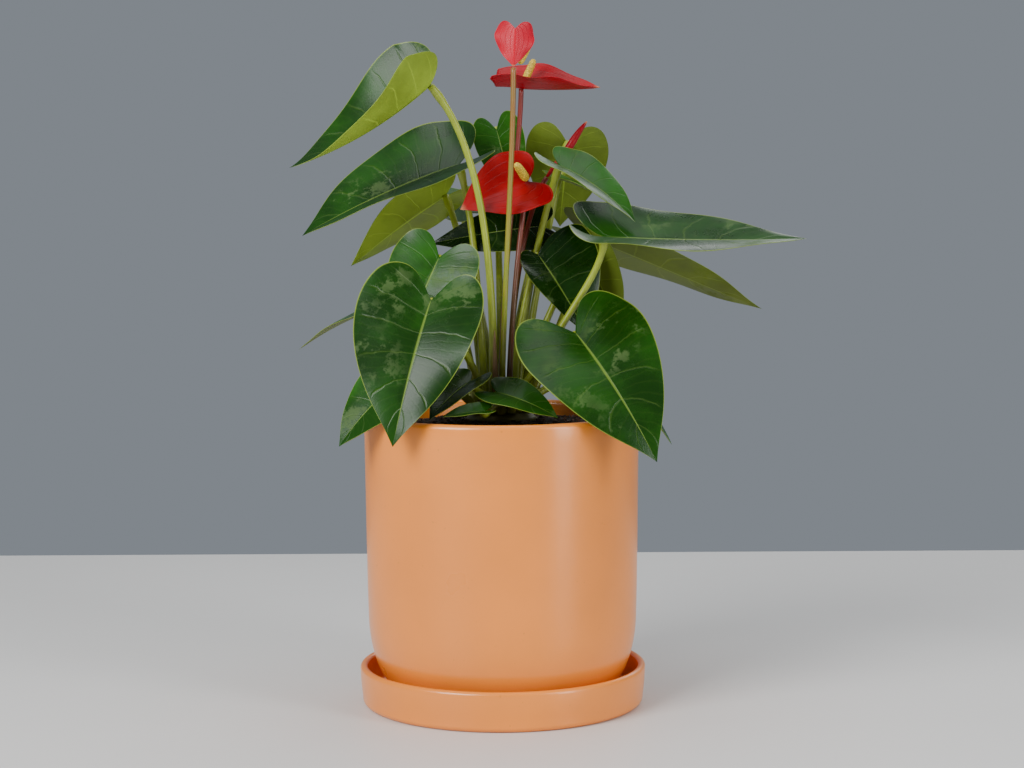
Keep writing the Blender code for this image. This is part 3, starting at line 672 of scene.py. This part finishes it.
def mix_profile():
    """Level top, a slope down to the pot's wall, then the shape of the pot's inside."""
    profile = [(SOIL_TOP_R * i / 12, SOIL_TOP) for i in range(12)]
    for share in np.linspace(0, 1, 24):
        profile.append((SOIL_TOP_R + (SOIL_R - SOIL_TOP_R) * share,
                        SOIL_TOP - (SOIL_TOP - SOIL_EDGE_Z) * share))
    profile += [(SOIL_R, 100), (SOIL_R - 0.2, 48)]
    profile += arc(SOIL_FOOT_R, POT_BELLY_Z, SOIL_BELLY, POT_BELLY_Z - SOIL_FLOOR_Z, -5, -90, 10)
    return profile + [(0, SOIL_FLOOR_Z - 0.1)]


def lumps(points):
    """Moves upper points up and down by a sum of crossed sines, and leaves the rest."""
    x, y, z = points[..., 0], points[..., 1], points[..., 2]
    rise = np.sin(x * 1.31 + 0.7 * np.sin(y * 0.9)) * np.sin(y * 1.17 + 1.1)
    rise = rise + 0.6 * np.sin(x * 2.7 + y * 1.9) + 0.8 * np.sin(x * 0.31) * np.cos(y * 0.27)
    shown = z > SOIL_EDGE_Z - 0.5
    return points + np.stack([0 * x, 0 * x, LUMP_HEIGHT * rise * shown], -1)


def crumb_chips(material):
    """Loose bark and peat: box-like chips, each turned by its own random rotation."""
    count = CRUMB_COUNT
    pick = np.random.default_rng(11)
    radius = CRUMB_REACH * np.sqrt(pick.uniform(0.09, 1, count))
    angle = pick.uniform(0, 2 * math.pi, count)
    slope = (SOIL_TOP - SOIL_EDGE_Z) * np.clip((radius - SOIL_TOP_R) / (SOIL_R - SOIL_TOP_R), 0, 1)
    height = SOIL_TOP - slope + 0.5
    centre = np.stack([radius * np.cos(angle), radius * np.sin(angle), height], 1)
    square = ((-1, -1), (1, -1), (1, 1), (-1, 1))
    sides = np.array([(x, y, z) for z in (-1, 1) for x, y in square])
    size = pick.uniform(0.35, 1.0, (count, 3)) * CRUMB_SIZE
    corners = sides[None] * size[:, None] * pick.uniform(0.6, 1.1, (count, 8, 1))
    turn = pick.uniform(0, math.pi, (count, 2))
    c, s = np.cos(turn), np.sin(turn)
    x, y, z = corners[..., 0], corners[..., 1], corners[..., 2]
    y, z = y * c[:, :1] - z * s[:, :1], y * s[:, :1] + z * c[:, :1]
    x, y = x * c[:, 1:] - y * s[:, 1:], x * s[:, 1:] + y * c[:, 1:]
    verts = (centre[:, None] + np.stack([x, y, z], -1)).reshape(-1, 3) * MM
    box = np.array([(0, 3, 2, 1), (4, 5, 6, 7), (0, 1, 5, 4), (1, 2, 6, 5), (2, 3, 7, 6),
                    (3, 0, 4, 7)])
    faces = (box[None] + 8 * np.arange(count)[:, None, None]).reshape(-1, 4)
    mesh = bpy.data.meshes.new("mix_crumbs")
    mesh.from_pydata(verts.tolist(), [], faces.tolist())
    mesh.materials.append(material)
    obj = bpy.data.objects.new("mix_crumbs", mesh)
    bpy.context.scene.collection.objects.link(obj)
    return obj


def stem_route(spec, end, arrive):
    """Route of a stalk from its root on the crown to end."""
    start = np.array((*spec["root"], CROWN_TOP), float)
    lean = np.array(spec["lean"], float)
    return cubic_route(start, end, lean, arrive, 0.45, spec.get("reach", 0.25), STALK_ROWS)


def spike_radius(widest):
    """Radius of a spadix from the share along and the angle: blunt ends, slight taper, bumps."""
    def radius_at(along, angle):
        blunt = np.sqrt(np.clip(1 - (2 * along - 1)**6, 0, 1))
        bumps = np.cos(9 * angle + 40 * along) * np.cos(9 * angle - 40 * along)
        return widest * blunt * (1.02 - 0.2 * along) * (1 + 0.05 * bumps)
    return radius_at


def bud_radius(along, angle):
    """Radius of the rolled bud: fuller in the middle, with one edge that winds round it."""
    full = 0.35 + 0.65 * np.sin(math.pi * np.clip(along * 0.85, 0, 1))
    closing = np.sqrt(np.clip(1 - along**5, 0, 1))
    return BUD_R * 1.05 * full * closing * (1 + 0.16 * np.cos(angle - 7 * along))


def sheath_radius(along, angle):
    """Radius of the sheath: narrowing to its tip, with three soft ridges that wind round it."""
    closing = np.sqrt(np.clip(1 - along, 0, 1))
    return SHEATH_R * 1.25 * closing * (1 + 0.12 * np.cos(3 * angle + 7 * along))


def add_flower_stem(name, spec, end, arrive, skin, node):
    """Flower stalk: a tube that thickens towards its foot."""
    share = np.linspace(0, 1, STALK_ROWS)
    radii = FLOWER_STALK_R * (1 + 0.35 * (1 - share)**6)
    stalk = tube_object(name, stem_route(spec, end, arrive), radii, skin)
    place_piece(stalk, node)


def add_flower(number, spec, wax, yellow, skin):
    """Spathe, its spadix and its stalk; the young one hangs by its lower point."""
    blade = blade_object(f"bract_{number}", spec, wax, thick=0.6, ripple=0.03, seed=2.0 * int(number))
    place_piece(blade, f"spathe_{number}")
    foot = np.array(spec["spadix"], float)
    length, radius = spec["spadix_size"]
    tip = foot + unit(np.array(spec["points"], float)) * length
    spike = spindle_object(f"spike_{number}", foot, tip, spike_radius(radius), yellow, 90, 60)
    place_piece(spike, f"spadix_{number}")
    young = number == "1"
    arrive = np.array((0.0, 0.0, 1.0)) if young else joint_normal(spec)
    end = np.array(spec["tip" if young else "join"], float) - arrive * JOIN_GAP
    add_flower_stem(f"flower_stem_{number}", spec, end, arrive, skin, f"flower_stalk_{number}")


def add_bud(wax, skin):
    """Rolled bud and its stalk; the bud is all upper side, so its underside mark stays 0."""
    bud = spindle_object("rolled_bud", BUD_FOOT, BUD_TIP, bud_radius, wax)
    bud.data.attributes.new("under", "FLOAT", "POINT")
    place_piece(bud, "bud")
    foot = np.array(BUD_FOOT, float)
    arrive = unit(np.array(BUD_TIP, float) - foot)
    spec = dict(root=BUD_ROOT, lean=(0, 0, 1), reach=0.15)
    add_flower_stem("bud_stem", spec, foot, arrive, skin, "bud_stalk")


class AnthuriumSettings(bpy.types.PropertyGroup):
    """Colours and lights that a user would change."""

    pot_colour: bpy.props.FloatVectorProperty(
        name="Pot colour", description="Glaze of the pot and saucer", subtype="COLOR",
        default=(0.840, 0.250, 0.024), min=0.0, max=1.0)
    leaf_colour: bpy.props.FloatVectorProperty(
        name="Leaf colour", description="Upper side of the leaves", subtype="COLOR",
        default=(0.007, 0.048, 0.001), min=0.0, max=1.0)
    under_colour: bpy.props.FloatVectorProperty(
        name="Underside colour", description="Lower side of the leaves", subtype="COLOR",
        default=(0.150, 0.215, 0.018), min=0.0, max=1.0)
    spathe_colour: bpy.props.FloatVectorProperty(
        name="Spathe colour", description="Waxy flower bracts", subtype="COLOR",
        default=(0.320, 0.0, 0.002), min=0.0, max=1.0)
    floor_colour: bpy.props.FloatVectorProperty(
        name="Table colour", description="Floor under the pot", subtype="COLOR",
        default=(0.70, 0.69, 0.67), min=0.0, max=1.0)
    light_power: bpy.props.FloatProperty(
        name="Light power", description="Power of the key light", subtype="POWER", unit="POWER",
        default=28.0, min=0.0)


class ANTHURIUM_OT_pot(bpy.types.Operator):
    """Build the glazed pot and its saucer"""

    bl_idname = "anthurium.pot"
    bl_label = "Pot and saucer"

    def execute(self, context):
        glaze = glaze_material(tuple(context.scene.anthurium.pot_colour))
        pot = turned_object("pot_body", pot_profile(), glaze, around=True)
        place_piece(pot, "pot")
        place_piece(turned_object("saucer_dish", saucer_profile(), glaze), "saucer")
        return {"FINISHED"}


class ANTHURIUM_OT_mix(bpy.types.Operator):
    """Build the potting mix, the crown and the papery sheath"""

    bl_idname = "anthurium.mix"
    bl_label = "Potting mix and crown"

    def execute(self, context):
        peat = crumb_material(
            "damp_peat", (0.006, 0.004, 0.003), (0.030, 0.017, 0.010), (0.09, 0.03, 0.012))
        mix = turned_object("mix_surface", mix_profile(), peat, wobble=lumps, sides=200)
        place_piece(mix, "potting_mix")
        bark = crumb_material(
            "bark_chips", (0.012, 0.007, 0.004), (0.060, 0.032, 0.018), (0.14, 0.045, 0.018))
        place_piece(crumb_chips(bark))
        bases = stem_material("old_leaf_bases", (0.075, 0.060, 0.014), (0.10, 0.10, 0.016), 0.6)
        level = CROWN_TOP - 0.6
        mound = [(0, level), (12, level), (15, 149.2), (17, 147.2), (19, 145.4), (0, 145.3)]
        place_piece(turned_object("crown_mound", mound, bases, sides=64), "crown")
        paper = stem_material("papery_sheath", (0.16, 0.085, 0.035), (0.30, 0.19, 0.09), 0.7)
        sheath = spindle_object("sheath_wrap", SHEATH_FOOT, SHEATH_TIP, sheath_radius, paper)
        place_piece(sheath, "sheath")
        return {"FINISHED"}


class ANTHURIUM_OT_leaves(bpy.types.Operator):
    """Build every leaf blade"""

    bl_idname = "anthurium.leaves"
    bl_label = "Leaf blades"

    def execute(self, context):
        settings = context.scene.anthurium
        top, under = tuple(settings.leaf_colour), tuple(settings.under_colour)
        # The five skins are one leaf skin at different brightness, set leaf by leaf: partly the leaves'
        # own tone and partly painted light and shade on each leaf.
        kinds = {
            "dark": leaf_material("leaf_dark", scaled(top, 0.5), scaled(under, 0.6), 0.24, 3.0),
            "deep": leaf_material("leaf_deep", top, scaled(under, 0.8), 0.26, 0.0),
            "lightest": leaf_material("leaf_lightest", scaled(top, 1.8), under, 0.30, 7.0),
            "olive": leaf_material("leaf_olive", scaled(top, 1.6), scaled(under, 0.75), 0.34, 5.0),
            "bright": leaf_material("leaf_bright", scaled(top, 1.2), scaled(under, 1.7), 0.30, 2.0),
        }
        tone = dict(A="bright", B="deep", C="bright", D="lightest", E="dark", F="olive", G="lightest",
                    H="lightest", I="deep", J="olive", K="olive", M="dark", N1="deep", N2="deep",
                    O="lightest", P="lightest", Q="deep", R="lightest", S1="dark", S2="deep", S3="deep", T="lightest")
        for number, (letter, spec) in enumerate(LEAVES.items()):
            blade = blade_object(f"blade_{letter}", spec, kinds[tone[letter]], seed=number)
            place_piece(blade, f"leaf_{letter}")
        return {"FINISHED"}


class ANTHURIUM_OT_stalks(bpy.types.Operator):
    """Build every leaf stalk, thick at its base and swollen below the blade"""

    bl_idname = "anthurium.stalks"
    bl_label = "Leaf stalks"

    def execute(self, context):
        skin = stem_material("leaf_stalk_skin", (0.20, 0.245, 0.016), (0.30, 0.37, 0.022), 0.34)
        share = np.linspace(0, 1, STALK_ROWS)
        swell = 1 + 0.55 * (1 - share)**5 + 0.30 * np.exp(-((share - 0.95) / 0.035)**2)
        for letter, spec in LEAVES.items():
            arrive = joint_normal(spec)
            end = np.array(spec["join"], float) - arrive * JOIN_GAP
            route = stem_route(spec, end, arrive)
            stalk = tube_object(f"stem_{letter}", route, STALK_R * 0.95 * swell, skin)
            place_piece(stalk, f"stalk_{letter}")
        return {"FINISHED"}


class ANTHURIUM_OT_flowers(bpy.types.Operator):
    """Build the spathes, spadices, flower stalks and the rolled bud"""

    bl_idname = "anthurium.flowers"
    bl_label = "Flowers"

    def execute(self, context):
        red = tuple(context.scene.anthurium.spathe_colour)
        waxes = {
            "1": spathe_material("spathe_young", (0.48, 0.0, 0.014), (0.54, 0.004, 0.025)),
            "2": spathe_material("spathe_open", (0.34, 0.0, 0.007), (0.42, 0.002, 0.014)),
            "3": spathe_material("spathe_full", red, scaled(red, 1.2)),
        }
        stems = {
            "1": stem_material("flower_stalk_green", (0.22, 0.27, 0.015), (0.24, 0.10, 0.022), 0.32),
            "2": stem_material("flower_stalk_red", (0.10, 0.05, 0.014), (0.20, 0.016, 0.014), 0.32),
        }
        yellow = spadix_material((0.90, 0.62, 0.045))
        for number, spec in SPATHES.items():
            skin = stems["1" if number == "1" else "2"]
            add_flower(number, spec, waxes[number], yellow, skin)
        add_bud(waxes["2"], stems["2"])
        return {"FINISHED"}


def add_light(name, place, aim, width, height, power):
    """Soft area light at place, turned to face aim."""
    data = bpy.data.lights.new(name, "AREA")
    data.shape = "RECTANGLE"
    data.size, data.size_y = width, height
    data.energy = power
    light = bpy.data.objects.new(name, data)
    light.location = place
    light.rotation_euler = (Vector(aim) - Vector(place)).to_track_quat("-Z", "Y").to_euler()
    bpy.context.scene.collection.objects.link(light)


class ANTHURIUM_OT_stage(bpy.types.Operator):
    """Lay the pale table, set soft lights and place the camera"""

    bl_idname = "anthurium.stage"
    bl_label = "Stage"

    def execute(self, context):
        settings = context.scene.anthurium
        mesh = bpy.data.meshes.new("table_top")
        far, back = TABLE_SIDE, TABLE_BACK
        corners = [(-far, -far, 0), (far, -far, 0), (far, back, 0), (-far, back, 0)]
        mesh.from_pydata(corners, [], [(0, 1, 2, 3)])
        mesh.materials.append(floor_material(tuple(settings.floor_colour)))
        table_top = bpy.data.objects.new("table_top", mesh)
        context.scene.collection.objects.link(table_top)
        power = settings.light_power
        aim = (0, 0, 0.18)
        add_light("key_left", (-0.85, -0.95, 0.95), aim, 0.7, 0.9, power)
        add_light("fill_right", (1.0, -0.8, 0.55), aim, 0.35, 1.1, power * 0.40)
        add_light("top_soft", (0.05, 0.15, 1.35), aim, 0.9, 0.9, power * 0.20)
        add_light("rim_back", (0.55, 1.1, 0.8), aim, 0.7, 0.6, power * 0.10)
        world = bpy.data.worlds.new("soft_room")
        context.scene.world = world
        world.use_nodes = True
        backing = world.node_tree.nodes["Background"]
        backing.inputs["Color"].default_value = (0.72, 0.80, 0.90, 1.0)
        backing.inputs["Strength"].default_value = 0.30
        data = bpy.data.cameras.new("camera")
        data.sensor_width = 36.0
        data.lens = CAMERA_LENS
        camera = bpy.data.objects.new("camera", data)
        pitch = Matrix.Rotation(math.radians(CAMERA_PITCH), 4, "X")
        roll = Matrix.Rotation(math.radians(CAMERA_ROLL), 4, "Z")
        camera.matrix_world = Matrix.Translation(CAMERA_PLACE) @ pitch @ roll
        context.scene.collection.objects.link(camera)
        context.scene.camera = camera
        return {"FINISHED"}


STEPS = ("pot", "mix", "leaves", "stalks", "flowers", "stage")
SETTING_NAMES = (
    "pot_colour", "leaf_colour", "under_colour", "spathe_colour", "floor_colour", "light_power",
)


class ANTHURIUM_PT_panel(bpy.types.Panel):
    """Sidebar panel with the settings and one button for each step"""

    bl_idname = "ANTHURIUM_PT_panel"
    bl_label = "Potted anthurium"
    bl_space_type = "VIEW_3D"
    bl_region_type = "UI"
    bl_category = "Anthurium"

    def draw(self, context):
        settings = context.scene.anthurium
        for name in SETTING_NAMES:
            self.layout.prop(settings, name)
        for step in STEPS:
            self.layout.operator(f"anthurium.{step}")


CLASSES = (
    AnthuriumSettings, ANTHURIUM_OT_pot, ANTHURIUM_OT_mix, ANTHURIUM_OT_leaves,
    ANTHURIUM_OT_stalks, ANTHURIUM_OT_flowers, ANTHURIUM_OT_stage, ANTHURIUM_PT_panel,
)


def register():
    for cls in CLASSES:
        bpy.utils.register_class(cls)
    bpy.types.Scene.anthurium = bpy.props.PointerProperty(type=AnthuriumSettings)


def unregister():
    del bpy.types.Scene.anthurium
    for cls in reversed(CLASSES):
        bpy.utils.unregister_class(cls)


def main():
    register()
    for step in STEPS:
        getattr(bpy.ops.anthurium, step)()


if __name__ == "__main__":
    main()
